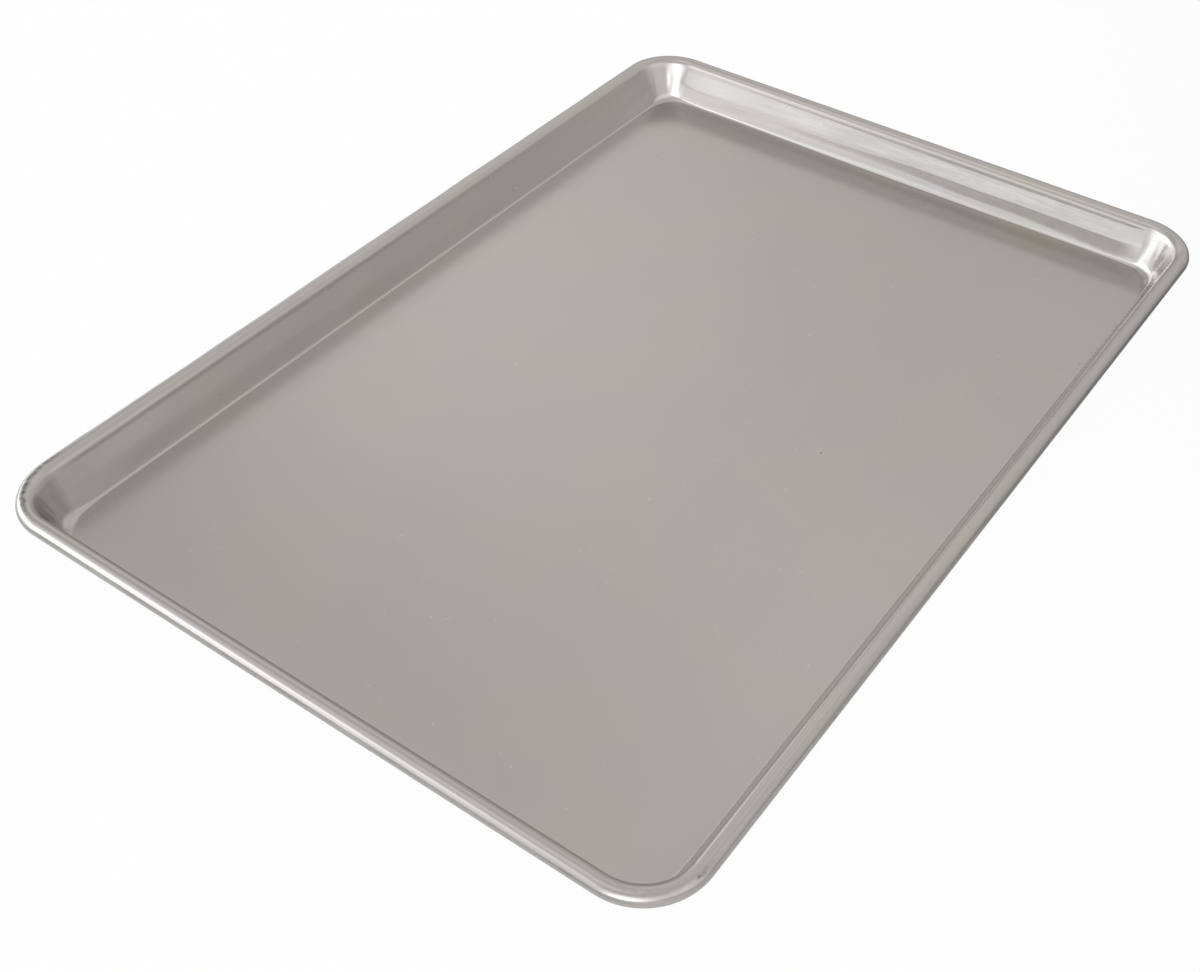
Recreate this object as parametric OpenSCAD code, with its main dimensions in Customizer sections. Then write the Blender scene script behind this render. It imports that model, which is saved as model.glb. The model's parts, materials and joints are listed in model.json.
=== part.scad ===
// Jelly roll pan: one pressed aluminium sheet with a flat floor, leaning walls and a rim
// curled outwards round a steel wire. The origin is under the middle of the floor, on the
// surface that the pan stands on. +X runs along the pan, +Z is up.

/* [Pan] */
// Overall length, over the curled rim
pan_length = 410; // [200:1:600]
// Overall width, over the curled rim
pan_width = 288; // [140:1:450]
// Overall height, from the underside of the floor to the top of the rim
pan_height = 19.5; // [12:0.5:36]
// Radius of the rim's corners, seen from above, at the outside
corner_radius = 24.5; // [16:0.5:60]
// Lean of the walls out of the vertical, in degrees
wall_lean = 23; // [5:1:30]
// Inside radius of the fold between wall and floor
fold_radius = 2; // [1.5:0.1:5]

/* [Sheet] */
// Thickness of the sheet, as it stays in the floor and in the curl
sheet_thickness = 1; // [0.8:0.05:1.6]
// How much thinner the drawn wall is than the sheet
wall_thinning = 0.1; // [0.08:0.01:0.2]

/* [Rim] */
// Diameter of the wire in the rim
wire_diameter = 4; // [2.5:0.1:6]
// Clearance all round the wire, inside the curl
wire_clearance = 0.2; // [0.1:0.05:0.5]
// Gap between the two butted ends of the wire
wire_gap = 1.5; // [0.5:0.1:6]
// How far the curl goes round the wire, in degrees, from the wall over the top to its cut edge
curl_sweep = 282; // [200:1:290]

/* [Hidden] */
$fn = 96;

// The curl's bore takes the wire and its clearance.
bore_radius = wire_diameter / 2 + wire_clearance;
rim_radius = bore_radius + sheet_thickness;

// The fold is half as thin as the wall, so that each stretch of sheet ends inside the next one.
wall_thickness = sheet_thickness - wall_thinning;
fold_thickness = sheet_thickness - wall_thinning / 2;
// How far one stretch of sheet runs into the next
lap = 0.2;

// From the middle of the pan to the centres that the corners turn about
run_x = pan_length / 2 - corner_radius;
run_y = pan_width / 2 - corner_radius;

// The section is drawn outwards from a corner's centre: X is the distance from it, Y is height.
rim_x = corner_radius - rim_radius;
rim_z = pan_height - rim_radius;
fold_z = sheet_thickness + fold_radius;
// Length of the straight stretch of wall between the curl and the fold
wall_length = (rim_z - fold_z + (rim_radius + fold_radius) * sin(wall_lean)) / cos(wall_lean);
fold_x = rim_x - (rim_radius + fold_radius) * cos(wall_lean) - wall_length * sin(wall_lean);

// A ring between two radii, kept only from one angle to another
module arc_band(inner_radius, outer_radius, first_angle, last_angle) {
    steps = 6;
    reach = 2 * outer_radius;
    intersection() {
        difference() {
            circle(r = outer_radius);
            circle(r = inner_radius);
        }
        polygon(concat([[0, 0]], [
            for (i = [0:steps])
                let (angle = first_angle + (last_angle - first_angle) * i / steps)
                    [reach * cos(angle), reach * sin(angle)]
        ]));
    }
}

// Section of the sheet: floor, fold, wall and curl
module sheet_section() {
    half_thinning = wall_thinning / 2;
    square([fold_x + lap, sheet_thickness]);
    translate([fold_x, fold_z])
        arc_band(fold_radius + half_thinning / 2, fold_radius + half_thinning / 2 + fold_thickness,
            -90, -wall_lean);
    translate([rim_x, rim_z]) {
        rotate(-wall_lean)
            translate([-rim_radius + half_thinning, -wall_length - lap])
                square([wall_thickness, wall_length + 2 * lap]);
        arc_band(bore_radius, rim_radius, 180 - wall_lean - curl_sweep, 180 - wall_lean);
    }
}

// Carries a section round a quarter of the pan: the corner and half of each side next to it
module swept_quarter() {
    translate([run_x, run_y, 0]) rotate_extrude(angle = 90) children();
    translate([run_x, run_y, 0]) rotate([90, 0, 0]) linear_extrude(height = run_y) children();
    translate([0, run_y, 0]) rotate([90, 0, 90]) linear_extrude(height = run_x) children();
}

module four_quarters() {
    for (flip_x = [0, 1], flip_y = [0, 1])
        mirror([flip_x, 0, 0]) mirror([0, flip_y, 0]) children();
}

// The pressed sheet, with its curled rim
module pan_body() {
    color([0.71, 0.7, 0.67])
        four_quarters() {
            cube([run_x, run_y, sheet_thickness]);
            swept_quarter() sheet_section();
        }
}

// The wire in the rim, bent to one turn, its ends butted in the middle of the +Y side
module rim_wire() {
    color([0.55, 0.56, 0.57])
        difference() {
            four_quarters()
                swept_quarter() translate([rim_x, rim_z]) circle(d = wire_diameter);
            translate([-wire_gap / 2, run_y + rim_x - wire_diameter, rim_z - wire_diameter])
                cube([wire_gap, 2 * wire_diameter, 2 * wire_diameter]);
        }
}

pan_body();
rim_wire();
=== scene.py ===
"""Jelly roll pan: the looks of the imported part, laid out as a Blender add-on.

The pan is one pressed aluminium sheet whose rim is curled round a steel wire. The sheet is made new
here, as its section carried round the outline of the pan, because the real one isn't as regular as its
construction: the fold between wall and floor opens out in the corners, the walls flare, the curl is
gathered where it goes round a corner, and nothing is quite flat. The wire is the construction's own.
All lengths are in metres.
"""

import json

import bpy
import numpy as np
from mathutils import Euler, Matrix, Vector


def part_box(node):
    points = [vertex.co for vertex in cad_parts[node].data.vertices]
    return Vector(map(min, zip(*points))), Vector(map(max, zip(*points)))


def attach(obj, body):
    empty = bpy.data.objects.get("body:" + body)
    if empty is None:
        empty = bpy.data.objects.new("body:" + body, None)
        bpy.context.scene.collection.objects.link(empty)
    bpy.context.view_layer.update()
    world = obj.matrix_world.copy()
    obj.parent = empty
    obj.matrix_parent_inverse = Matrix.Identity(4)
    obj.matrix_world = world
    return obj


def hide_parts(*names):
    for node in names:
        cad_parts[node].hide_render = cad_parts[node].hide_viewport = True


bl_info = {
    "name": "Jelly roll pan",
    "version": (1, 0, 0),
    "blender": (4, 5, 0),
    "location": "3D View > Sidebar > Pan",
    "description": "A pressed aluminium baking pan with a wired rim, on a white studio floor",
    "category": "Object",
}

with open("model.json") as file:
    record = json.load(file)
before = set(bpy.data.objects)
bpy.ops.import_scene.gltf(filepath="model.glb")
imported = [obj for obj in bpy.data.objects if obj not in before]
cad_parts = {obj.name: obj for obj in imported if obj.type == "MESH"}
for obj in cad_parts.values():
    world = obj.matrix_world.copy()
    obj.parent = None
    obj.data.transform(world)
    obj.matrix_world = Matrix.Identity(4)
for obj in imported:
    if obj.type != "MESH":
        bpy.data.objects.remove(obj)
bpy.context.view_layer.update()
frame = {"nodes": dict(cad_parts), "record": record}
PAN_LOW, PAN_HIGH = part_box("pan_body")
WIRE_LOW, WIRE_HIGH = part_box("rim_wire")
FLOOR_TOP = next(mount["pos_m"][2] for mount in frame["record"]["mounts"] if mount["name"] == "baking_floor")

# Size of the photograph, and where its optical axis meets it, in pixels from its upper left corner
PHOTO_WIDTH = 1200
PHOTO_HEIGHT = 972
AXIS_ACROSS = 644.74
AXIS_DOWN = 444.51
FOCAL_PIXELS = 1576.7

# The camera, fitted to the outline and the fold lines of the pan: its place in metres, and its turn
# about X, Y and Z in degrees
CAMERA_PLACE = (-0.398287, -0.267371, 0.402012)
CAMERA_TURN = (48.08974, -0.80492, -54.75305)

# The studio's soft lights: azimuth from +X towards +Y and elevation in degrees, width in degrees
# from the middle to half brightness, brightness at the middle, and colour. AMBIENT is the rest.
DAYLIGHT = (0.99, 1.0, 1.0)
LAMPLIGHT = (1.03, 1.0, 0.965)
SOFT_LIGHTS = (
    ("foot of the broad window", 140, -4.5, 13.5, 2.65, DAYLIGHT),
    ("top of the broad window", 139.5, 28.5, 12.5, 1.7, DAYLIGHT),
    ("side of the broad window", 107, 16, 17, 2.6, DAYLIGHT),
    ("glow beside the broad window", 73, -3, 16.5, 1.8, DAYLIGHT),
    ("second window", 197, 18, 21.5, 2.25, DAYLIGHT),
    ("foot of the second window", 183, -3.5, 12.5, 1.2, DAYLIGHT),
    ("near wall", 263, 32.5, 32, 0.86, LAMPLIGHT),
    ("ceiling lamp", 115, 70, 22, 0.74, LAMPLIGHT),
    ("small lamp", 46, 33, 13, 0.42, LAMPLIGHT),
    ("lamp above it", 12, 55, 10, 0.22, LAMPLIGHT),
    ("right wall", 356, 31, 41, 0.54, LAMPLIGHT),
)
AMBIENT = (0.165, 0.16, 0.154)

# The painted shade on the floor beyond the pan's -Y side, which the curl reflects as a dark edge: the way
# that it lies from the pan's middle, where it starts and where it is fully grey, in metres that way, and its
# tone
PAINTED_SHADE_WAY = (0.5, -0.86, 0)
PAINTED_SHADE_START = 0.06
PAINTED_SHADE_END = 0.24
PAINTED_SHADE_TONE = (0.3, 0.3, 0.3)

# How much of the paper's plain white metal and glass see, as a share of what the camera sees
MIRRORED_WHITE = 0.06

# Length of the drawn wall from the fold to the curl, which the streaks on it are measured along
WALL_LENGTH = 0.017

# Widths of the marks on the curl, as angles in radians from their middle to where they fade
TORN_WIDTH = 0.2
LINE_WIDTH = 0.11
DENT_WIDTH = 0.4
GATHER_WIDTH = 0.6

# Half the height over which a wall bends, and where its neck starts and ends, as shares of its height
BEND_REACH = 0.07
NECK_START = 0.87
NECK_END = 0.96

# How many steps the outline has in a corner and on each side, how many points each stretch of the
# section has, and how many rings close the floor and its underside
CORNER_STEPS = 60
LONG_STEPS = 84
SHORT_STEPS = 60
FOLD_POINTS = 14
WALL_POINTS = 33
CURL_POINTS = 56
EDGE_POINTS = 9
BORE_POINTS = 24
UNDER_POINTS = 12
FLOOR_RINGS = 18
UNDER_RINGS = 12

# The ways out of the pan in which it has been knocked: a corner that is torn, and the end of the next
# one, which is dented
TORN_CORNER = (-0.62, 0.78)
DENTED_END = (-0.12, -0.993)

# Tones that are laid over the aluminium: where it is rubbed, which on the short walls' upper half is partly
# painted sheen; a painted highlight on the folds of the short sides; where it is freshly scratched or pitted;
# dirt in specks; and a dark tone in the creases and along the tool's line, which also holds painted shade at
# the start of the fold, at one end of each short side
RUBBED_SHEEN_TONE = (0.64, 0.62, 0.6)
PAINTED_FOLD_HIGHLIGHT_TONE = (0.82, 0.81, 0.79)
FRESH_TONE = (0.75, 0.74, 0.72)
SPECK_TONE = (0.12, 0.11, 0.1)
CREASE_AND_SHADE_TONE = (0.1, 0.095, 0.09)


class PanShape(bpy.types.PropertyGroup):
    """Sizes of the pressed sheet."""

    length: bpy.props.FloatProperty(
        name="Length",
        description="Overall length, over the curled rim",
        default=PAN_HIGH.x - PAN_LOW.x,
        unit="LENGTH",
    )
    width: bpy.props.FloatProperty(
        name="Width",
        description="Overall width, over the curled rim",
        default=PAN_HIGH.y - PAN_LOW.y,
        unit="LENGTH",
    )
    height: bpy.props.FloatProperty(
        name="Height",
        description="From the surface that the pan stands on to the top of the rim",
        default=PAN_HIGH.z,
        unit="LENGTH",
    )
    corner_radius: bpy.props.FloatProperty(
        name="Corner radius",
        description="Outside radius of the rim's corners, seen from above",
        default=0.0245,
        unit="LENGTH",
    )
    wall_lean: bpy.props.FloatProperty(
        name="Wall lean",
        description="Lean of the short walls out of the vertical, on average",
        default=np.radians(22.3),
        subtype="ANGLE",
    )
    far_lean: bpy.props.FloatProperty(
        name="Extra lean on +Y",
        description="How much more the long wall on the +Y side leans than the others",
        default=np.radians(3),
        subtype="ANGLE",
    )
    wall_flare: bpy.props.FloatProperty(
        name="Wall flare",
        description="How much more a short wall leans above its bend, and less below it",
        default=np.radians(6),
        subtype="ANGLE",
    )
    wall_hollow: bpy.props.FloatProperty(
        name="Wall hollow",
        description="How much more a short wall leans again at its foot, in the middle of the side",
        default=np.radians(26),
        subtype="ANGLE",
    )
    bend_height: bpy.props.FloatProperty(
        name="Bend height",
        description="Where the wall's lean changes, as a share of the wall's height",
        default=0.44,
        subtype="FACTOR",
    )
    side_fold: bpy.props.FloatProperty(
        name="Fold on the sides",
        description="Inside radius of the fold between wall and floor on a long side",
        default=0.0011,
        unit="LENGTH",
    )
    corner_fold: bpy.props.FloatProperty(
        name="Fold in the corners",
        description="Inside radius of the same fold in the middle of a corner",
        default=0.005,
        unit="LENGTH",
    )
    sheet_thickness: bpy.props.FloatProperty(
        name="Sheet thickness",
        description="Thickness of the sheet in the floor and in the curl",
        default=FLOOR_TOP,
        unit="LENGTH",
    )
    wall_thinning: bpy.props.FloatProperty(
        name="Wall thinning",
        description="How much thinner the drawn wall is than the floor",
        default=0.0001,
        unit="LENGTH",
    )
    rim_radius: bpy.props.FloatProperty(
        name="Rim radius",
        description="Outside radius of the curl round the wire",
        default=PAN_HIGH.z - (WIRE_LOW.z + WIRE_HIGH.z) / 2,
        unit="LENGTH",
    )
    rim_swell: bpy.props.FloatProperty(
        name="Rim swell",
        description="How much further the curl stands out over the wall than a round one would",
        default=0.0009,
        unit="LENGTH",
    )
    curl_end: bpy.props.FloatProperty(
        name="Curl end",
        description="Where the curl's cut edge lies, as an angle below the outward direction",
        default=np.radians(125),
        subtype="ANGLE",
    )
    tool_line: bpy.props.FloatProperty(
        name="Tool's line",
        description="Angle above the curl's outermost point at which the curling tool has left a line",
        default=np.radians(16),
        subtype="ANGLE",
    )
    edge_rise: bpy.props.FloatProperty(
        name="Rise at the floor's edge",
        description="How far the sheet springs up towards the fold between floor and wall",
        default=0.0002,
        unit="LENGTH",
    )
    floor_crown: bpy.props.FloatProperty(
        name="Floor crown",
        description="How far the middle of the floor rises above its edge",
        default=0.00025,
        unit="LENGTH",
    )
    unevenness: bpy.props.FloatProperty(
        name="Unevenness",
        description="Height of the slow waves in floor, walls and rim",
        default=0.00005,
        unit="LENGTH",
    )


class PanFinish(bpy.types.PropertyGroup):
    """Colours and surfaces."""

    aluminium: bpy.props.FloatVectorProperty(
        name="Aluminium",
        description="Colour of the bare sheet",
        default=(0.52, 0.507, 0.495),
        subtype="COLOR",
    )
    steel: bpy.props.FloatVectorProperty(
        name="Steel",
        description="Colour of the galvanised wire",
        default=(0.46, 0.47, 0.48),
        subtype="COLOR",
    )
    satin: bpy.props.FloatProperty(
        name="Satin",
        description="Roughness of the rolled sheet",
        default=0.2,
        subtype="FACTOR",
    )
    grain: bpy.props.FloatProperty(
        name="Grain",
        description="How much the rolling lines along the pan stretch its reflections across it",
        default=0.6,
        subtype="FACTOR",
    )


class PanStage(bpy.types.PropertyGroup):
    """Floor, light and camera."""

    floor_size: bpy.props.FloatProperty(
        name="Floor size",
        description="Length of a side of the studio floor",
        default=12,
        unit="LENGTH",
    )
    whiteness: bpy.props.FloatProperty(
        name="Whiteness",
        description="How much of the floor that the camera sees is plain white, without shadow",
        default=0.965,
        subtype="FACTOR",
    )
    light: bpy.props.FloatProperty(
        name="Light",
        description="Strength of all the light, where 1 shows a colour about as it is written",
        default=1,
    )


def smooth_step(value, start, end):
    """0 before start, 1 after end, and the cubic 3t^2 - 2t^3 between them."""
    t = np.clip((value - start) / (end - start), 0, 1)
    return t * t * (3 - 2 * t)


def ripple(turns, counts, seed):
    """A closed ripple of height about 1: sines that fit the outline a whole number of times."""
    random = np.random.default_rng(seed)
    phases = random.uniform(0, 2 * np.pi, len(counts))
    weights = random.uniform(0.5, 1, len(counts))
    sines = np.sin(2 * np.pi * np.outer(turns, counts) + phases) @ weights
    return sines / np.sqrt(np.sum(weights**2) / 2)


def bump(value, middle, width):
    """A bell of height 1: exp(-((value - middle) / width)^2)."""
    return np.exp(-(((value - middle) / width) ** 2))


def outline(shape):
    """The closed path that the section is carried along, with one entry a place.

    middle is the place on the rectangle that joins the centres of the corners, out the unit vector that
    points out of the pan there, and turns the share of the way round the rim. corner is 1 in the middle
    of a corner and falls to 0 on the sides next to it, gather is the same but ends with the corner,
    side is 1 in the middle of a straight side and 0 in the corners, short is 1 on the short sides and
    0 on the long ones, and far is 1 on the +X and +Y sides and 0 on the two others. worn is 1 where the
    pan has been knocked most: round the corner at -X +Y and along the side after it, and at one end of
    the corner at -X -Y. crest is the angle on the curl, in radians, at which the knocks lie.
    """
    run = np.array([shape.length / 2, shape.width / 2]) - shape.corner_radius
    signs = np.array([(1, 1), (-1, 1), (-1, -1), (1, -1)])
    middles, angles, sides = [], [], []
    for index, sign in enumerate(signs):
        here, there = sign * run, signs[(index + 1) % 4] * run
        turn = np.linspace(0, 1, CORNER_STEPS + 1)
        steps = LONG_STEPS if index % 2 == 0 else SHORT_STEPS
        share = np.linspace(0, 1, steps + 1)[1:-1]
        middles += [np.repeat(here[None], CORNER_STEPS + 1, axis=0), here + (there - here) * share[:, None]]
        angles += [(index + turn) * np.pi / 2, np.full(steps - 1, (index + 1) * np.pi / 2)]
        sides += [np.zeros(CORNER_STEPS + 1), np.sin(np.pi * share) ** 2]
    middle, angle, side = np.concatenate(middles), np.concatenate(angles), np.concatenate(sides)
    out = np.stack([np.cos(angle), np.sin(angle)], axis=1)
    rim = middle + out * shape.corner_radius
    step = np.linalg.norm(np.roll(rim, -1, axis=0) - rim, axis=1)
    turns = np.concatenate([[0], np.cumsum(step)[:-1]]) / step.sum()
    off_diagonal = np.abs(np.abs(out[:, 0]) - np.abs(out[:, 1]))
    beyond = np.linalg.norm(np.abs(middle) - run, axis=1) / shape.corner_radius
    corner = 1 - smooth_step(off_diagonal + beyond, 0.35, 1.5)
    gather = 1 - smooth_step(off_diagonal + beyond, 0.5, 1)
    short = out[:, 0] ** 2
    far = np.clip((1 + out.sum(axis=1)) / 2, 0, 1)
    knocked = bump(out @ TORN_CORNER, 1, 0.16) + 1.6 * bump(out @ DENTED_END, 1, 0.006)
    scraped = smooth_step(out[:, 1], 0.9, 0.98) * smooth_step(-middle[:, 0], 0.06, 0.15)
    worn = np.maximum(corner * (0.12 + 0.88 * np.minimum(knocked, 1)), 0.8 * scraped)
    crest = 60 + 28 * smooth_step(out[:, 1], -0.9, -0.3)
    crest = crest - 45 * smooth_step(out[:, 1], 0.99, 1) * smooth_step(middle[:, 0], -run[0], 0.03 - run[0])
    return middle, out, turns, corner, gather, side, short, far, worn, np.radians(crest)


def carried(x, z):
    """Points from distances outwards and heights, with one row for each place round the outline."""
    x, z = np.broadcast_arrays(x, z)
    return np.stack([x, z], axis=2)


def sheet_section(shape, turns, corner, gather, side, short, far, worn, crest):
    """The sheet's section at each place round the outline, as distance outwards and height.

    It goes from the floor's top up the wall, over the curl to its cut edge, and back through the curl's
    bore and under the floor.
    - The fold is an arc between floor and wall, whose radius grows in the corners.
    - The wall is carried up by adding small steps, each the cosine and sine of its lean. A short wall is
      hollow under its bend, and leans more above it. The bend itself rises and falls along the wall.
      Every wall is steep in the neck under the curl.
    - The curl is an arc about the wire, made oval towards the wall. Dents, the tool's line, and in the
      corners creases and fine wrinkles, are taken off the radius, so it never grows by them.
    The other results hold for each point: the depth of creases, from 0 to 1, which also holds painted shade
    at the start of the fold, at one end of each short side; the share of the wall's height, which is 0 off
    the wall; and a painted highlight on the folds of the short sides.
    """
    weights = (turns, corner, gather, side, short, far, worn, crest)
    turns, corner, gather, side, short, far, worn, crest = (weight[:, None] for weight in weights)
    sheet, wall = shape.sheet_thickness, shape.sheet_thickness - shape.wall_thinning
    lean = shape.wall_lean + shape.far_lean * (1 - short) * far
    flare = shape.wall_flare * (0.1 + 0.9 * short) * (1 - corner)
    below, lip = lean - flare * (1 + 0.4 * side), lean + flare
    foot = below + shape.wall_hollow * short * (0.05 + 0.95 * side) * (1 - corner)
    neck_lean = np.radians(12 + 9 * (1 - short) + 14 * corner)
    wave = shape.unevenness
    fold = shape.side_fold * (1 + 0.4 * short)
    fold = fold + (shape.corner_fold - fold) * corner
    rim_x, rim_z = shape.corner_radius - shape.rim_radius, shape.height - shape.rim_radius

    oval = shape.rim_swell * (0.45 + 0.55 * far)
    neck = np.pi - np.arctan(np.tan(neck_lean) * shape.rim_radius / (shape.rim_radius + oval))

    wrinkles = np.maximum(0.5 + 0.5 * ripple(turns[:, 0], (290, 370, 450, 520), 11)[:, None], 0)
    inner_waves = 1 + 0.6 * ripple(turns[:, 0], (9, 14, 21, 30, 41), 5)[:, None]
    outer_waves = 1 + 0.6 * ripple(turns[:, 0], (8, 13, 19, 28, 38), 6)[:, None]
    calm = 0.1 + 0.9 * (1 - short)

    def crease(angle):
        """How deep the crease is at that angle of the curl: the deeper of a torn one where the pan is
        worn, and a faint one all round, where the curling tool has run."""
        wander = 0.06 * ripple(turns[:, 0], (150, 260, 400), 12)[:, None]
        torn = worn * bump(angle, crest + wander, TORN_WIDTH) * np.clip(1.4 - 0.8 * wrinkles, 0, 1)
        faint = 0.8 + 0.25 * ripple(turns[:, 0], (11, 23, 37, 61), 13)[:, None]
        return np.maximum(torn, 0.5 * faint * bump(angle, shape.tool_line, LINE_WIDTH))

    def curl(angle, depth):
        """The curl's face at that depth in the sheet."""
        inner_dents = inner_waves * bump(angle, np.radians(125), DENT_WIDTH)
        outer_dents = outer_waves * bump(angle, np.radians(50), DENT_WIDTH)
        dents = np.maximum(inner_dents + outer_dents, 0)
        gathers = gather * wrinkles * bump(angle, np.radians(95), GATHER_WIDTH)
        hollow = wave * (3.5 * crease(angle) + 1.6 * calm * dents + 0.5 * gathers)
        radius = shape.rim_radius - depth - hollow
        swell = oval * np.minimum(np.cos(angle), 0)
        return carried(rim_x + radius * np.cos(angle) + swell, rim_z + radius * np.sin(angle))

    share = np.linspace(0, 1, WALL_POINTS) ** 0.7
    middle = (share[1:] + share[:-1]) / 2
    bend = shape.bend_height + 0.08 * np.cos(4 * np.pi * (turns - 0.83))
    bend = bend + 0.01 * ripple(turns[:, 0], (7, 12, 19), 4)[:, None]
    slope = below + (lip - below) * smooth_step(middle, bend - BEND_REACH, bend + BEND_REACH)
    slope = slope + (foot - below) * np.maximum(1 - middle / bend, 0) ** 3
    slope = slope - (lip - neck_lean) * smooth_step(middle, NECK_START, NECK_END)
    start = np.zeros((len(turns), 1))
    climb = np.concatenate([start, np.cumsum(np.cos(slope) * np.diff(share), axis=1)], axis=1)
    drift = np.concatenate([start, np.cumsum(np.sin(slope) * np.diff(share), axis=1)], axis=1)
    neck_point = curl(neck, 0)
    low_z = shape.edge_rise + sheet + fold - fold * np.sin(foot)
    length = (neck_point[:, :, 1] - low_z) / climb[:, -1:]
    low_x = neck_point[:, :, 0] - length * drift[:, -1:]
    fold_x, fold_z = low_x - fold * np.cos(foot), shape.edge_rise + sheet + fold
    flutes = gather * ripple(turns[:, 0], (96, 134, 171, 227), 8)[:, None] * 1.1
    sway = (1 - gather) * ripple(turns[:, 0], (5, 8, 13, 21, 34), 3)[:, None]
    push = wave * (flutes + sway) * np.sin(np.pi * share) ** 2
    top_wall = carried(low_x + length * drift - push, low_z + length * climb)
    inward = np.stack([-np.cos(slope), np.sin(slope)], axis=2)
    under_wall = top_wall[:, 1:-1] - wall * (inward[:, 1:] + inward[:, :-1]) / 2

    stop = -shape.curl_end
    fold_angle = -np.pi / 2 + (np.pi / 2 - foot) * np.linspace(0, 1, FOLD_POINTS)
    top_fold = carried(fold_x + fold * np.cos(fold_angle), fold_z + fold * np.sin(fold_angle))
    curl_angle = neck + (stop - neck) * np.linspace(0, 1, CURL_POINTS)
    top_curl = curl(curl_angle, 0)
    edge = curl(np.array([stop]), sheet / 2)
    edge_angle = np.linspace(stop, stop - np.pi, EDGE_POINTS)[1:-1]
    cut_edge = edge + sheet / 2 * np.stack([np.cos(edge_angle), np.sin(edge_angle)], axis=1)
    bore_curl = curl(stop + (neck - np.radians(24) - stop) * np.linspace(0, 1, BORE_POINTS), sheet)
    part = np.linspace(0, 1, UNDER_POINTS)
    under_angle = -foot - (np.pi / 2 - foot) * part
    under_z = fold_z + (fold + wall) * np.sin(under_angle) - (sheet - wall) * part**2
    under_fold = carried(fold_x + (fold + wall) * np.cos(under_angle), under_z)
    upper_face = (top_fold, top_wall[:, 1:-1], top_curl, cut_edge)
    under_face = (bore_curl, under_wall[:, -4::-4], under_fold)
    section = np.concatenate(upper_face + under_face, axis=1)

    depth, height, burnish = np.zeros((3, *section.shape[:2]))
    first = FOLD_POINTS + WALL_POINTS - 2
    depth[:, first : first + CURL_POINTS] = crease(curl_angle)
    # Painted shade darkens the start of the fold, at one end of each short side. A painted highlight lightens
    # the upper half of the fold on the short sides.
    depth[:, 1:4] = 0.9 * bump(turns, 0.335, 0.014) + 0.5 * bump(turns, 0.85, 0.04)
    height[:, FOLD_POINTS:first] = share[1:-1]
    burnish[:, :FOLD_POINTS] = short * bump(np.arange(FOLD_POINTS), 10, 2.5)
    return section, depth, height, burnish


def mesh_object(name, vertices, faces):
    """A smooth-shaded mesh object from arrays of vertices and faces, with its place in its mesh."""
    mesh = bpy.data.meshes.new(name)
    mesh.from_pydata(vertices.tolist(), [], faces)
    mesh.polygons.foreach_set("use_smooth", np.ones(len(mesh.polygons), bool))
    mesh.update()
    piece = bpy.data.objects.new(name, mesh)
    bpy.context.scene.collection.objects.link(piece)
    return piece


def floor_swell(shape, x, y):
    """Height of the floor's crown, the square of a product of two parabolas, with slow waves on it that
    are sums of sines. Both are 0 at its edge."""
    half_x = shape.length / 2 - 0.7 * shape.corner_radius
    half_y = shape.width / 2 - 0.7 * shape.corner_radius
    edge = (np.clip(1 - (x / half_x) ** 2, 0, 1) * np.clip(1 - (y / half_y) ** 2, 0, 1)) ** 2
    waves = np.sin(31 * x + 11 * y + 1) + 0.7 * np.sin(17 * x - 43 * y + 2) + 0.5 * np.sin(61 * x + 37 * y)
    return edge * (shape.floor_crown + shape.unevenness * waves)


def floor_rings(shape, edge, shares, level):
    """Rings that close a face of the floor: its edge drawn in towards the middle by each share, at the
    level of the face with its crown. Close to the edge they rise with the 30th power of their share."""
    rings = edge * shares[:, None, None]
    spring = shape.edge_rise * shares[:, None] ** 30
    rings[:, :, 2] = level + floor_swell(shape, rings[:, :, 0], rings[:, :, 1]) + spring
    return rings


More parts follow.
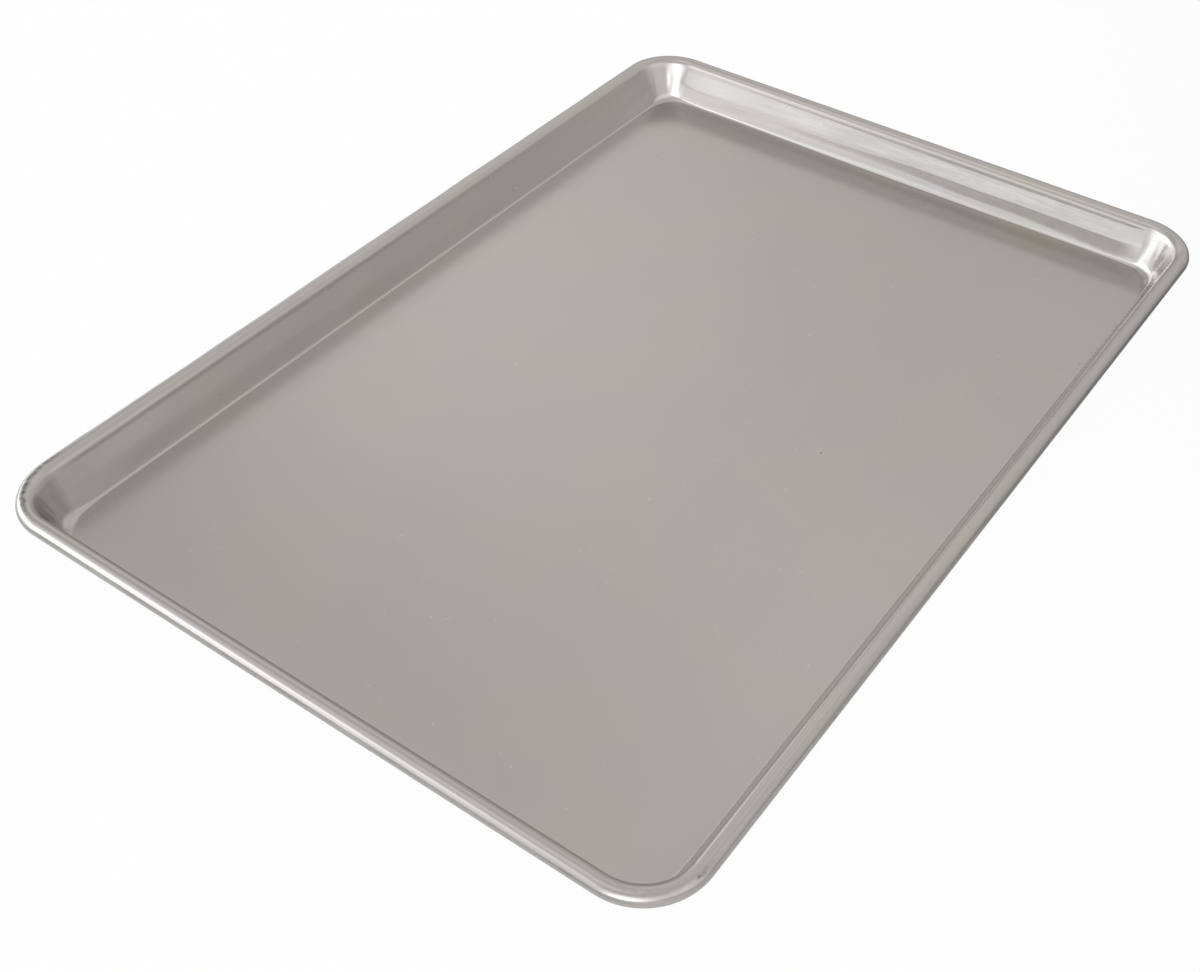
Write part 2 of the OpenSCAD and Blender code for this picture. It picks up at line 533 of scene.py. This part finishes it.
def pressed_sheet(shape):
    """The sheet: its section carried round the outline, and both faces of the floor closed in rings to
    their middles, where the last ring is joined to one point by a fan of triangles.

    The blank coordinates say where a point lay before pressing, on the flat sheet, so the rolling lines
    run on over folds and curl.
    """
    middle, out, *weights = outline(shape)
    turns = weights[0]
    section, *marks = sheet_section(shape, *weights)
    step = np.linalg.norm(np.diff(section, axis=1), axis=2)
    gone = np.concatenate([np.zeros((len(turns), 1)), np.cumsum(step, axis=1)], axis=1)
    gone = np.minimum(gone, gone[:, -1:] - gone)
    swept = np.concatenate([middle[:, None] + out[:, None] * section[:, :, :1], section[:, :, 1:]], axis=2)
    flat = middle[:, None] + out[:, None] * (section[:, :1, :1] + gone[:, :, None])

    shares = 1 - np.linspace(1, 0, FLOOR_RINGS)[1:-1] ** 1.7
    top = floor_rings(shape, swept[:, 0], shares, shape.sheet_thickness)
    shares = 1 - np.linspace(0, 1, UNDER_RINGS)[1:-1] ** 1.7
    under = floor_rings(shape, swept[:, -1], shares, 0)
    rows = np.concatenate([top, swept.transpose(1, 0, 2), under])
    flat = np.concatenate([top[:, :, :2], flat.transpose(1, 0, 2), under[:, :, :2]])
    marks = [np.concatenate([0 * top[:, :, 0], mark.T, 0 * under[:, :, 0]]).ravel() for mark in marks]

    count, places = rows.shape[:2]
    rise = floor_swell(shape, 0, 0)
    vertices = np.concatenate([rows.reshape(-1, 3), [(0, 0, shape.sheet_thickness + rise), (0, 0, rise)]])
    row, place = np.meshgrid(np.arange(count - 1), np.arange(places), indexing="ij")
    after = (place + 1) % places
    first, second = row * places, (row + 1) * places
    quads = np.stack([first + place, second + place, second + after, first + after], axis=2).reshape(-1, 4)
    place = np.arange(places)
    after = (place + 1) % places
    last = (count - 1) * places
    top_fan = np.stack([np.full(places, count * places), place, after], axis=1)
    under_fan = np.stack([np.full(places, count * places + 1), last + after, last + place], axis=1)
    piece = mesh_object("pressed_pan", vertices, quads.tolist() + top_fan.tolist() + under_fan.tolist())

    mesh = piece.data
    blank = np.concatenate([flat.reshape(-1, 2), np.zeros((2, 2))])
    corners = np.empty(len(mesh.loops), int)
    mesh.loops.foreach_get("vertex_index", corners)
    mesh.uv_layers.new(name="blank").data.foreach_set("uv", blank[corners].ravel())
    for name, mark in zip(("crease", "wall_height", "burnish"), marks):
        layer = mesh.attributes.new(name, "FLOAT", "POINT")
        layer.data.foreach_set("value", np.append(mark, [0, 0]).astype(np.float32))
    return piece


def feed(tree, socket, value):
    """Link another node's output to an input socket, or set the socket to a value."""
    if isinstance(value, bpy.types.NodeSocket):
        tree.links.new(value, socket)
    else:
        socket.default_value = value


def add(tree, kind, inputs=None, **settings):
    """A new node, with its settings and with values or other nodes' outputs for its inputs."""
    node = tree.nodes.new(kind)
    for name, value in settings.items():
        setattr(node, name, value)
    for key, value in (inputs or {}).items():
        feed(tree, node.inputs[key], value)
    return node


def math(tree, operation, *values):
    """The output of a Math node on one, two or three values."""
    return add(tree, "ShaderNodeMath", dict(enumerate(values)), operation=operation).outputs[0]


def remap(tree, value, low, high, to_low, to_high):
    """The output of a smooth Map Range node."""
    inputs = {"Value": value, "From Min": low, "From Max": high, "To Min": to_low, "To Max": to_high}
    return add(tree, "ShaderNodeMapRange", inputs, interpolation_type="SMOOTHSTEP").outputs["Result"]


def effect(name, inputs, outputs):
    """A new node group with named sockets. inputs are name, kind and default; outputs are name, kind."""
    tree = bpy.data.node_groups.new(name, "ShaderNodeTree")
    for label, kind, default in inputs:
        tree.interface.new_socket(label, in_out="INPUT", socket_type=kind).default_value = default
    for label, kind in outputs:
        tree.interface.new_socket(label, in_out="OUTPUT", socket_type=kind)
    return tree, tree.nodes.new("NodeGroupInput").outputs, tree.nodes.new("NodeGroupOutput")


FLOAT, VECTOR = "NodeSocketFloat", "NodeSocketVector"


def drawn_lines():
    """Fine parallel lines along the first coordinate, as rolling and drawing leave them: noise that is
    stretched along them. Lines is between 0 and 1."""
    tree, given, result = effect(
        "drawn_lines",
        [("Vector", VECTOR, (0, 0, 0)), ("Length", FLOAT, 0.02), ("Spacing", FLOAT, 0.0005)],
        [("Lines", FLOAT)],
    )
    along = math(tree, "DIVIDE", 1, given["Length"])
    across = math(tree, "DIVIDE", 1, given["Spacing"])
    scale = add(tree, "ShaderNodeCombineXYZ", {"X": along, "Y": across, "Z": across}).outputs[0]
    place = add(tree, "ShaderNodeVectorMath", {0: given["Vector"], 1: scale}, operation="MULTIPLY").outputs[0]
    noise = add(tree, "ShaderNodeTexNoise", {"Vector": place, "Scale": 1, "Detail": 3, "Roughness": 0.7})
    tree.links.new(noise.outputs["Fac"], result.inputs["Lines"])
    return tree


def clouds():
    """Slow patches, between 0 and 1, and a second, finer set of them."""
    tree, given, result = effect(
        "clouds",
        [("Vector", VECTOR, (0, 0, 0)), ("Size", FLOAT, 0.1)],
        [("Patches", FLOAT), ("Mottle", FLOAT)],
    )
    scale = math(tree, "DIVIDE", 1, given["Size"])
    slow = add(tree, "ShaderNodeTexNoise", {"Vector": given["Vector"], "Scale": scale, "Detail": 2})
    quick = math(tree, "MULTIPLY", scale, 7)
    fine = add(tree, "ShaderNodeTexNoise", {"Vector": given["Vector"], "Scale": quick, "Detail": 3})
    tree.links.new(remap(tree, slow.outputs["Fac"], 0.3, 0.7, 0, 1), result.inputs["Patches"])
    tree.links.new(remap(tree, fine.outputs["Fac"], 0.3, 0.7, 0, 1), result.inputs["Mottle"])
    return tree


def scratches():
    """Short thin straight marks at one angle: the middles of Voronoi cells, stretched along the angle,
    of which a share is kept."""
    tree, given, result = effect(
        "scratches",
        [
            ("Vector", VECTOR, (0, 0, 0)),
            ("Angle", FLOAT, 0.0),
            ("Length", FLOAT, 0.01),
            ("Width", FLOAT, 0.0002),
            ("Share", FLOAT, 0.2),
        ],
        [("Mask", FLOAT)],
    )
    inputs = {"Vector": given["Vector"], "Angle": given["Angle"]}
    turned = add(tree, "ShaderNodeVectorRotate", inputs, rotation_type="Z_AXIS").outputs[0]
    along = math(tree, "DIVIDE", 0.4, given["Length"])
    across = math(tree, "DIVIDE", 0.05, given["Width"])
    scale = add(tree, "ShaderNodeCombineXYZ", {"X": along, "Y": across, "Z": 0.0}).outputs[0]
    place = add(tree, "ShaderNodeVectorMath", {0: turned, 1: scale}, operation="MULTIPLY").outputs[0]
    cells = add(tree, "ShaderNodeTexVoronoi", {"Vector": place, "Scale": 1.0}, voronoi_dimensions="2D")
    parts = add(tree, "ShaderNodeSeparateColor", {0: cells.outputs["Color"]})
    kept = math(tree, "LESS_THAN", parts.outputs[0], given["Share"])
    near = remap(tree, cells.outputs["Distance"], 0.1, 0.02, 0, 1)
    tree.links.new(math(tree, "MULTIPLY", near, kept), result.inputs["Mask"])
    return tree


def specks():
    """Small round spots, some of them kept, as dents, crumbs or drops leave them."""
    tree, given, result = effect(
        "specks",
        [
            ("Vector", VECTOR, (0, 0, 0)),
            ("Spacing", FLOAT, 0.02),
            ("Size", FLOAT, 0.0004),
            ("Share", FLOAT, 0.3),
        ],
        [("Mask", FLOAT)],
    )
    scale = math(tree, "DIVIDE", 1, given["Spacing"])
    inputs = {"Vector": given["Vector"], "Scale": scale}
    cells = add(tree, "ShaderNodeTexVoronoi", inputs, voronoi_dimensions="2D")
    parts = add(tree, "ShaderNodeSeparateColor", {0: cells.outputs["Color"]})
    kept = math(tree, "LESS_THAN", parts.outputs[0], given["Share"])
    edge = math(tree, "DIVIDE", given["Size"], given["Spacing"])
    edge = math(tree, "MULTIPLY", edge, math(tree, "ADD", parts.outputs[1], 0.4))
    inside = math(tree, "SUBTRACT", 1, remap(tree, cells.outputs["Distance"], 0, edge, 0, 1))
    tree.links.new(math(tree, "MULTIPLY", inside, kept), result.inputs["Mask"])
    return tree


def use(tree, group, **inputs):
    """A group node in a tree. Inputs are named as its sockets, in small letters."""
    node = tree.nodes.new("ShaderNodeGroup")
    node.node_tree = group
    for name, value in inputs.items():
        feed(tree, node.inputs[name.capitalize()], value)
    return node.outputs


def tinted(tree, colour, amount, tint):
    """The colour, with as much of the tint over it as amount says."""
    mix = add(tree, "ShaderNodeMix", {"Factor": amount}, data_type="RGBA")
    # A Mix node's inputs 6 and 7 and its output 2 are the ones for colours.
    for index, value in ((6, colour), (7, tint)):
        linked = isinstance(value, bpy.types.NodeSocket)
        feed(tree, mix.inputs[index], value if linked else (*value, 1))
    return mix.outputs[2]


def new_material(name):
    """An empty metal: its node tree and its Principled BSDF."""
    material = bpy.data.materials.new(name)
    material.use_nodes = True
    shader = material.node_tree.nodes["Principled BSDF"]
    shader.inputs["Metallic"].default_value = 1
    return material, material.node_tree, shader


def satin_aluminium(finish, effects):
    """Rolled aluminium: satin, with lines along the pan that stretch reflections across it, slow warm and
    cool patches, rubbed streaks on the short walls that are partly painted sheen, a painted highlight on the
    folds under them, a few faint scratches and specks, darkening in the creases of the corners and along the
    curling tool's line, and painted shade at the start of the fold at one end of each short side."""
    material, tree, shader = new_material("satin_aluminium")
    blank = add(tree, "ShaderNodeUVMap", uv_map="blank").outputs[0]
    lines = use(tree, effects["drawn_lines"], vector=blank, length=0.03, spacing=0.0006)["Lines"]
    broad = use(tree, effects["drawn_lines"], vector=blank, length=0.12, spacing=0.012)["Lines"]
    cloud = use(tree, effects["clouds"], vector=blank, size=0.06)
    fine = [
        use(tree, effects["scratches"], vector=blank, angle=angle, length=length, width=0.0002, share=share)
        for angle, length, share in ((0.5, 0.012, 0.05), (2.1, 0.007, 0.05))
    ]
    scratch = math(tree, "MAXIMUM", fine[0]["Mask"], fine[1]["Mask"])
    speck = use(tree, effects["specks"], vector=blank, spacing=0.03, size=0.0007, share=0.35)["Mask"]
    dirt = use(tree, effects["specks"], vector=blank, spacing=0.055, size=0.0006, share=0.12)["Mask"]
    crease = add(tree, "ShaderNodeAttribute", attribute_name="crease").outputs["Fac"]
    crumbs = use(tree, effects["specks"], vector=blank, spacing=0.0014, size=0.0014, share=0.7)["Mask"]
    # Darkening in the creases of the corners and along the tool's line; at the start of the fold, at one end
    # of each short side, the same mark is painted shade
    torn = math(tree, "MULTIPLY", crease, math(tree, "MULTIPLY_ADD", crumbs, 0.4, 0.7))

    height = add(tree, "ShaderNodeAttribute", attribute_name="wall_height").outputs["Fac"]
    # The painted highlight on the folds of the short sides
    burnish = add(tree, "ShaderNodeAttribute", attribute_name="burnish").outputs["Fac"]
    place = add(tree, "ShaderNodeTexCoord").outputs["Object"]
    place = add(tree, "ShaderNodeSeparateXYZ", {0: place}).outputs
    # Rubbed streaks on the upper half of the short walls, lighter than the sheet: partly real scuffs, partly
    # painted sheen where those walls reflect the bright light
    at_the_end = remap(tree, math(tree, "ABSOLUTE", place["X"]), 0.186, 0.19, 0, 1)
    off_corners = remap(tree, math(tree, "ABSOLUTE", place["Y"]), 0.12, 0.1, 0, 1)
    upper_half = remap(tree, height, 0.4, 0.6, 0, 1)
    short_wall = math(tree, "MULTIPLY", math(tree, "MULTIPLY", at_the_end, off_corners), upper_half)
    up = math(tree, "MULTIPLY", height, WALL_LENGTH)
    along_wall = add(tree, "ShaderNodeCombineXYZ", {"X": place["Y"], "Y": up}).outputs[0]
    streaks = use(tree, effects["drawn_lines"], vector=along_wall, length=0.035, spacing=0.0035)["Lines"]
    rubbed_and_sheen = math(tree, "MULTIPLY", remap(tree, streaks, 0.42, 0.62, 0, 1), short_wall)

    base = finish.aluminium
    bright = tuple(min(1.0, 1.05 * value) for value in base)
    warm = (base[0] * 1.005, base[1] * 1.005, base[2] * 0.965)
    cool = (base[0], base[1] * 0.985, base[2] * 1.035)
    colour = tinted(tree, warm, cloud["Patches"], cool)
    # Of these tones, the rubbed streaks are partly painted sheen, the fold's tone is a painted highlight, and
    # the creases' dark tone also holds painted shade at the fold
    tones = (
        (broad, 0.4, bright),
        (rubbed_and_sheen, 0.35, RUBBED_SHEEN_TONE),
        (burnish, 0.75, PAINTED_FOLD_HIGHLIGHT_TONE),
        (scratch, 0.18, FRESH_TONE),
        (speck, 0.3, FRESH_TONE),
        (dirt, 0.7, SPECK_TONE),
        (torn, 0.95, CREASE_AND_SHADE_TONE),
    )
    for mask, amount, tone in tones:
        colour = tinted(tree, colour, math(tree, "MULTIPLY", mask, amount), tone)
    tree.links.new(colour, shader.inputs["Base Color"])

    rough = math(tree, "MULTIPLY_ADD", lines, 0.05, finish.satin - 0.035)
    changes = ((cloud["Mottle"], 0.02), (rubbed_and_sheen, 0.04), (burnish, -0.05), (scratch, 0.08), (torn, 0.25))
    for mask, amount in changes:
        rough = math(tree, "MULTIPLY_ADD", mask, amount, rough)
    tree.links.new(rough, shader.inputs["Roughness"])

    relief = math(tree, "MULTIPLY_ADD", lines, 0.3, math(tree, "MULTIPLY", scratch, -0.5))
    relief = math(tree, "MULTIPLY_ADD", speck, 1.2, relief)
    relief = math(tree, "MULTIPLY_ADD", math(tree, "MULTIPLY", streaks, short_wall), 1.5, relief)
    relief = math(tree, "MULTIPLY_ADD", crumbs, math(tree, "MULTIPLY", crease, -14), relief)
    bumps = add(tree, "ShaderNodeBump", {"Height": relief, "Distance": 0.000004, "Strength": 1.0})
    normal = bumps.outputs[0]
    tree.links.new(normal, shader.inputs["Normal"])

    shader.inputs["Anisotropic"].default_value = finish.grain
    shader.inputs["Anisotropic Rotation"].default_value = 0.25
    tangent = add(tree, "ShaderNodeTangent", direction_type="UV_MAP", uv_map="blank").outputs[0]
    tree.links.new(tangent, shader.inputs["Tangent"])
    return material


def galvanised_steel(finish, effects):
    """Drawn steel wire with a dull zinc coat: broad spangles, fine pits and a few darker patches."""
    material, tree, shader = new_material("galvanised_steel")
    place = add(tree, "ShaderNodeTexCoord").outputs["Object"]
    cloud = use(tree, effects["clouds"], vector=place, size=0.02)
    spangle = add(tree, "ShaderNodeTexVoronoi", {"Vector": place, "Scale": 700.0})
    flake = add(tree, "ShaderNodeSeparateColor", {0: spangle.outputs["Color"]}).outputs[0]
    pits = use(tree, effects["clouds"], vector=place, size=0.003)["Mottle"]
    pale = tuple(min(1.0, 1.25 * value) for value in finish.steel)
    dark = tuple(0.7 * value for value in finish.steel)
    colour = tinted(tree, finish.steel, math(tree, "MULTIPLY", flake, 0.6), pale)
    colour = tinted(tree, colour, math(tree, "MULTIPLY", cloud["Patches"], 0.5), dark)
    tree.links.new(colour, shader.inputs["Base Color"])
    rough = math(tree, "MULTIPLY_ADD", flake, 0.12, math(tree, "MULTIPLY_ADD", pits, 0.1, 0.28))
    tree.links.new(rough, shader.inputs["Roughness"])
    normal = add(tree, "ShaderNodeBump", {"Height": pits, "Distance": 0.00001, "Strength": 1.0}).outputs[0]
    tree.links.new(normal, shader.inputs["Normal"])
    return material


def ready_effects():
    """The shared effects by name, made the first time that they are asked for."""
    makers = {"drawn_lines": drawn_lines, "clouds": clouds, "scratches": scratches, "specks": specks}
    return {name: bpy.data.node_groups.get(name) or make() for name, make in makers.items()}


def soft_light():
    """One soft light at a great distance: brightness times exp(sharpness (cosine of the angle between
    the direction looked in and the light's - 1))."""
    tree, given, result = effect(
        "soft_light",
        [
            ("Direction", VECTOR, (0, 0, 1)),
            ("Towards", VECTOR, (0, 0, 1)),
            ("Sharpness", FLOAT, 10.0),
            ("Brightness", FLOAT, 1.0),
        ],
        [("Light", FLOAT)],
    )
    ways = {0: given["Direction"], 1: given["Towards"]}
    cosine = add(tree, "ShaderNodeVectorMath", ways, operation="DOT_PRODUCT").outputs["Value"]
    power = math(tree, "MULTIPLY", math(tree, "SUBTRACT", cosine, 1), given["Sharpness"])
    glow = math(tree, "MULTIPLY", math(tree, "EXPONENT", power), given["Brightness"])
    tree.links.new(glow, result.inputs["Light"])
    return tree


def studio_world(light):
    """The light of the studio: an even part, and the soft lights added to it. To the camera it is
    plain white."""
    world = bpy.data.worlds.new("studio")
    world.use_nodes = True
    tree = world.node_tree
    direction = add(tree, "ShaderNodeTexCoord").outputs["Generated"]
    group = soft_light()
    total = add(tree, "ShaderNodeRGB").outputs[0]
    total.default_value = (*AMBIENT, 1)
    for name, azimuth, elevation, width, brightness, colour in SOFT_LIGHTS:
        around, up = np.radians(azimuth), np.radians(elevation)
        towards = (np.cos(up) * np.cos(around), np.cos(up) * np.sin(around), np.sin(up))
        sharpness = np.log(2) / (1 - np.cos(np.radians(width)))
        lamp = use(
            tree, group, direction=direction, towards=towards, sharpness=sharpness, brightness=brightness
        )
        part = add(tree, "ShaderNodeVectorMath", {0: colour}, operation="SCALE", label=name)
        tree.links.new(lamp["Light"], part.inputs["Scale"])
        total = add(tree, "ShaderNodeVectorMath", {0: total, 1: part.outputs[0]}, operation="ADD").outputs[0]
    background = tree.nodes["Background"]
    tree.links.new(total, background.inputs["Color"])
    background.inputs["Strength"].default_value = light
    white = add(tree, "ShaderNodeBackground", {"Color": (1, 1, 1, 1), "Strength": 1.0})
    rays = add(tree, "ShaderNodeLightPath").outputs
    seen = add(tree, "ShaderNodeMixShader", {0: rays["Is Camera Ray"], 1: background.outputs[0]})
    tree.links.new(white.outputs[0], seen.inputs[2])
    tree.links.new(seen.outputs[0], tree.nodes["World Output"].inputs["Surface"])
    return world


def white_paper(whiteness):
    """White paper that keeps a pale shadow, and turns grey beyond the pan's -Y side in painted shade, which
    the curl reflects as a dark edge. The camera sees plain white mixed into it, and metal and glass see a
    little of that white too."""
    material = bpy.data.materials.new("white_paper")
    material.use_nodes = True
    tree = material.node_tree
    tree.nodes.remove(tree.nodes["Principled BSDF"])
    place = add(tree, "ShaderNodeTexCoord").outputs["Object"]
    cloud = use(tree, ready_effects()["clouds"], vector=place, size=0.4)
    tone = tinted(tree, (0.88, 0.88, 0.88), cloud["Patches"], (0.9, 0.9, 0.9))
    # Painted shade: the floor turns grey beyond the pan's -Y side, so that the curl reflects a dark edge
    # there
    across = add(tree, "ShaderNodeVectorMath", {0: place, 1: PAINTED_SHADE_WAY}, operation="DOT_PRODUCT")
    painted_shade = remap(tree, across.outputs["Value"], PAINTED_SHADE_START, PAINTED_SHADE_END, 0, 1)
    tone = tinted(tree, tone, painted_shade, PAINTED_SHADE_TONE)
    paper = add(tree, "ShaderNodeBsdfDiffuse", {"Color": tone})
    white = add(tree, "ShaderNodeEmission", {"Color": (1, 1, 1, 1), "Strength": 1.0})
    rays = add(tree, "ShaderNodeLightPath").outputs
    mirrored = math(tree, "MAXIMUM", rays["Is Glossy Ray"], rays["Is Transmission Ray"])
    mirrored = math(tree, "MULTIPLY", mirrored, MIRRORED_WHITE)
    share = math(tree, "MULTIPLY", math(tree, "MAXIMUM", rays["Is Camera Ray"], mirrored), whiteness)
    seen = add(tree, "ShaderNodeMixShader", {0: share, 1: paper.outputs[0], 2: white.outputs[0]})
    tree.links.new(seen.outputs[0], tree.nodes["Material Output"].inputs["Surface"])
    return material


def photo_camera():
    """The camera at the photograph's place, with its lens and its shift."""
    data = bpy.data.cameras.new("photo_camera")
    data.sensor_width = 36
    data.lens = FOCAL_PIXELS / PHOTO_WIDTH * data.sensor_width
    data.shift_x = (PHOTO_WIDTH / 2 - AXIS_ACROSS) / PHOTO_WIDTH
    data.shift_y = (AXIS_DOWN - PHOTO_HEIGHT / 2) / PHOTO_WIDTH
    data.clip_start = 0.01
    camera = bpy.data.objects.new("photo_camera", data)
    bpy.context.scene.collection.objects.link(camera)
    camera.matrix_world = Matrix.LocRotScale(CAMERA_PLACE, Euler(np.radians(CAMERA_TURN)), None)
    return camera


class PAN_OT_pressed_sheet(bpy.types.Operator):
    """Make the pressed sheet with its curled rim"""

    bl_idname = "pan.pressed_sheet"
    bl_label = "Pressed sheet"

    def execute(self, context):
        piece = pressed_sheet(context.scene.pan_shape)
        piece.data.materials.append(satin_aluminium(context.scene.pan_finish, ready_effects()))
        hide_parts("pan_body")
        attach(piece, "root")
        return {"FINISHED"}


class PAN_OT_rim_wire(bpy.types.Operator):
    """Give the wire in the rim its galvanised surface"""

    bl_idname = "pan.rim_wire"
    bl_label = "Rim wire"

    def execute(self, context):
        steel = galvanised_steel(context.scene.pan_finish, ready_effects())
        for slot in frame["nodes"]["rim_wire"].material_slots:
            slot.material = steel
        return {"FINISHED"}


class PAN_OT_stage(bpy.types.Operator):
    """Make the floor, the light and the camera"""

    bl_idname = "pan.stage"
    bl_label = "Stage"

    def execute(self, context):
        scene, stage = context.scene, context.scene.pan_stage
        half = stage.floor_size / 2
        corners = np.array([(-half, -half, 0), (half, -half, 0), (half, half, 0), (-half, half, 0)])
        floor = mesh_object("studio_floor", corners, [(0, 1, 2, 3)])
        floor.data.materials.append(white_paper(stage.whiteness))
        scene.camera = photo_camera()
        scene.world = studio_world(stage.light)
        scene.view_settings.view_transform = "Standard"
        return {"FINISHED"}


class PAN_PT_pan(bpy.types.Panel):
    """The pan's sizes, finishes and pieces, in the sidebar"""

    bl_idname = "PAN_PT_pan"
    bl_label = "Jelly roll pan"
    bl_space_type = "VIEW_3D"
    bl_region_type = "UI"
    bl_category = "Pan"

    def draw(self, context):
        for group in (context.scene.pan_shape, context.scene.pan_finish, context.scene.pan_stage):
            box = self.layout.box()
            for name in group.__annotations__:
                box.prop(group, name)
        for operator in (PAN_OT_pressed_sheet, PAN_OT_rim_wire, PAN_OT_stage):
            self.layout.operator(operator.bl_idname)


CLASSES = (
    PanShape,
    PanFinish,
    PanStage,
    PAN_OT_pressed_sheet,
    PAN_OT_rim_wire,
    PAN_OT_stage,
    PAN_PT_pan,
)


def register():
    """Register the classes and give the scene their settings."""
    for item in CLASSES:
        bpy.utils.register_class(item)
    bpy.types.Scene.pan_shape = bpy.props.PointerProperty(type=PanShape)
    bpy.types.Scene.pan_finish = bpy.props.PointerProperty(type=PanFinish)
    bpy.types.Scene.pan_stage = bpy.props.PointerProperty(type=PanStage)


def unregister():
    """Take away what register has added, last first."""
    del bpy.types.Scene.pan_stage
    del bpy.types.Scene.pan_finish
    del bpy.types.Scene.pan_shape
    for item in reversed(CLASSES):
        bpy.utils.unregister_class(item)


def main():
    """Register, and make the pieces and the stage."""
    register()
    bpy.ops.pan.pressed_sheet()
    bpy.ops.pan.rim_wire()
    bpy.ops.pan.stage()


if __name__ == "__main__":
    main()
